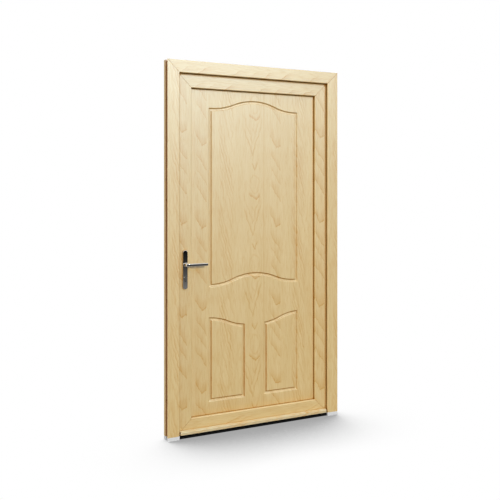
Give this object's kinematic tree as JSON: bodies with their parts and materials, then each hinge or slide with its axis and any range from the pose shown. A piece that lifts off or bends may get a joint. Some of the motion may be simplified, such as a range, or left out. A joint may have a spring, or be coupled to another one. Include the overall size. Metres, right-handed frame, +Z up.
{
  "type": "pvc front door",
  "caption": "Inward-opening PVC entrance door with a mitred wood-grain frame, routed arched panel, lever handle and low black threshold.",
  "frame": {"origin": "underside of the threshold, midway between the jambs and midway through the frame's depth", "axes": "+X to the right seen from outside, +Y inwards into the building, +Z up"},
  "size_m": [1.1, 0.16, 2.1],
  "materials": {
    "wood_foil": "light maple wood-grain foil over a brown PVC core",
    "white_plastic": "moulded white",
    "black_plastic": "satin black",
    "aluminium": "natural anodised, ribbed",
    "brown_rubber": "matt brown extruded seal",
    "steel": "zinc plated",
    "brown_paint": "satin brown powder coat",
    "chrome": "polished chrome",
    "nickel": "satin nickel"
  },
  "bodies": {
    "frame": {"lock_jamb": "wood_foil", "hinge_jamb": "wood_foil", "frame_head": "wood_foil", "frame_gasket": "brown_rubber", "lock_side_foot": "white_plastic", "hinge_side_foot": "white_plastic", "threshold": "black_plastic", "threshold_tread": "aluminium", "threshold_seal": "brown_rubber", "latch_strike": "steel", "upper_strike": "steel", "lower_strike": "steel", "bottom_hinge_frame_half": "brown_paint", "middle_hinge_frame_half": "brown_paint", "top_hinge_frame_half": "brown_paint", "hinge_pins": "steel"},
    "leaf": {"lock_stile": "wood_foil", "hinge_stile": "wood_foil", "top_rail": "wood_foil", "bottom_rail": "wood_foil", "door_panel": "wood_foil", "lock_side_bead": "wood_foil", "hinge_side_bead": "wood_foil", "top_bead": "wood_foil", "bottom_bead": "wood_foil", "outer_panel_gasket": "brown_rubber", "inner_panel_gasket": "brown_rubber", "leaf_gasket": "brown_rubber", "weather_bar": "wood_foil", "weather_bar_caps": "wood_foil", "lock_faceplate": "steel", "lock_cylinder": "nickel", "outer_handle_plate": "chrome", "inner_handle_plate": "chrome", "latch_bolt": "steel", "dead_bolt": "steel", "upper_hook_bolt": "steel", "lower_hook_bolt": "steel", "bottom_hinge_leaf_half": "brown_paint", "middle_hinge_leaf_half": "brown_paint", "top_hinge_leaf_half": "brown_paint"},
    "lever": {"outer_lever": "chrome", "inner_lever": "chrome", "handle_spindle": "steel"}
  },
  "joints": [
    {"name": "leaf_swing", "type": "hinge", "parent": "frame", "child": "leaf", "pos_m": [0.517, 0.066, 0], "axis": [0, 0, -1], "range_deg": [0, 100]},
    {"name": "lever_turn", "type": "hinge", "parent": "leaf", "child": "lever", "pos_m": [-0.443, 0.02, 0.965], "axis": [0, 1, 0], "range_deg": [0, 40], "stiffness_Nm_per_rad": 2, "springref_deg": -20.05}
  ]
}
